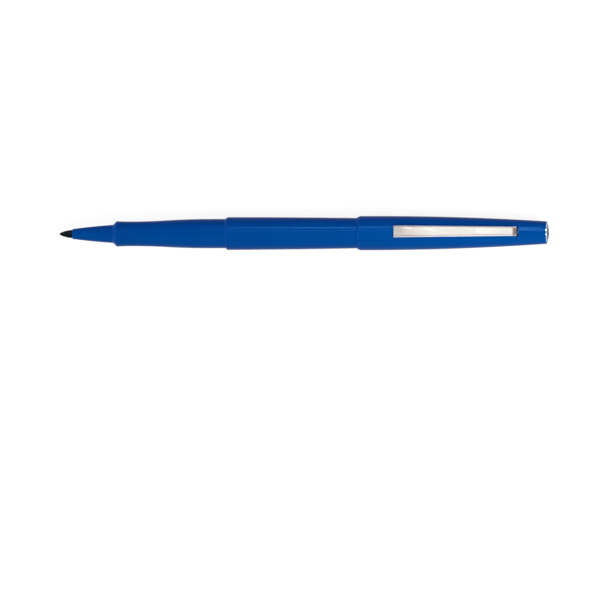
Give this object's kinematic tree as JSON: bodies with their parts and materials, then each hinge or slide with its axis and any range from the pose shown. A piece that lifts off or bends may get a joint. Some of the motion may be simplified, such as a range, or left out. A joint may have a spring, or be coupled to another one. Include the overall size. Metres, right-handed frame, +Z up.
{
  "type": "fibre-tip pen",
  "caption": "Slim fibre-tip pen with waisted grip, tapered barrel and a clip cap posted on its tail; the cap pulls off along the axis and its spring clip lifts.",
  "frame": {"origin": "writing tip of the nib, on the pen's axis", "axes": "+X along the pen from the writing tip to the closed end of the posted cap, +Z up through the clip"},
  "size_m": [0.15, 0.0104, 0.0113],
  "materials": {
    "blue_plastic": "moulded, satin gloss",
    "nib_fibre": "bonded fibre, wet with ink",
    "ink_fibre": "fibre core, soaked with ink",
    "clear_film": "clear wrap",
    "natural_plastic": "natural, unpigmented",
    "bright_metal": "bright plated"
  },
  "bodies": {
    "pen": {"nib": "nib_fibre", "nib_sleeve": "natural_plastic", "front_section": "blue_plastic", "ink_reservoir": "ink_fibre", "reservoir_film": "clear_film", "barrel": "blue_plastic", "end_plug": "blue_plastic"},
    "cap": {"cap_shell": "blue_plastic", "cap_liner": "natural_plastic", "cap_jewel": "bright_metal"},
    "clip": {"clip": "bright_metal"}
  },
  "joints": [
    {"name": "cap_pull", "type": "slide", "parent": "pen", "child": "cap", "axis": [1, 0, 0], "range_m": [0, 0.045]},
    {"name": "clip_flex", "type": "hinge", "parent": "cap", "child": "clip", "pos_m": [0.13925, 0, 0.00368], "axis": [0, 1, 0], "range_deg": [0, 3], "stiffness_Nm_per_rad": 1, "springref_deg": -1.15}
  ]
}
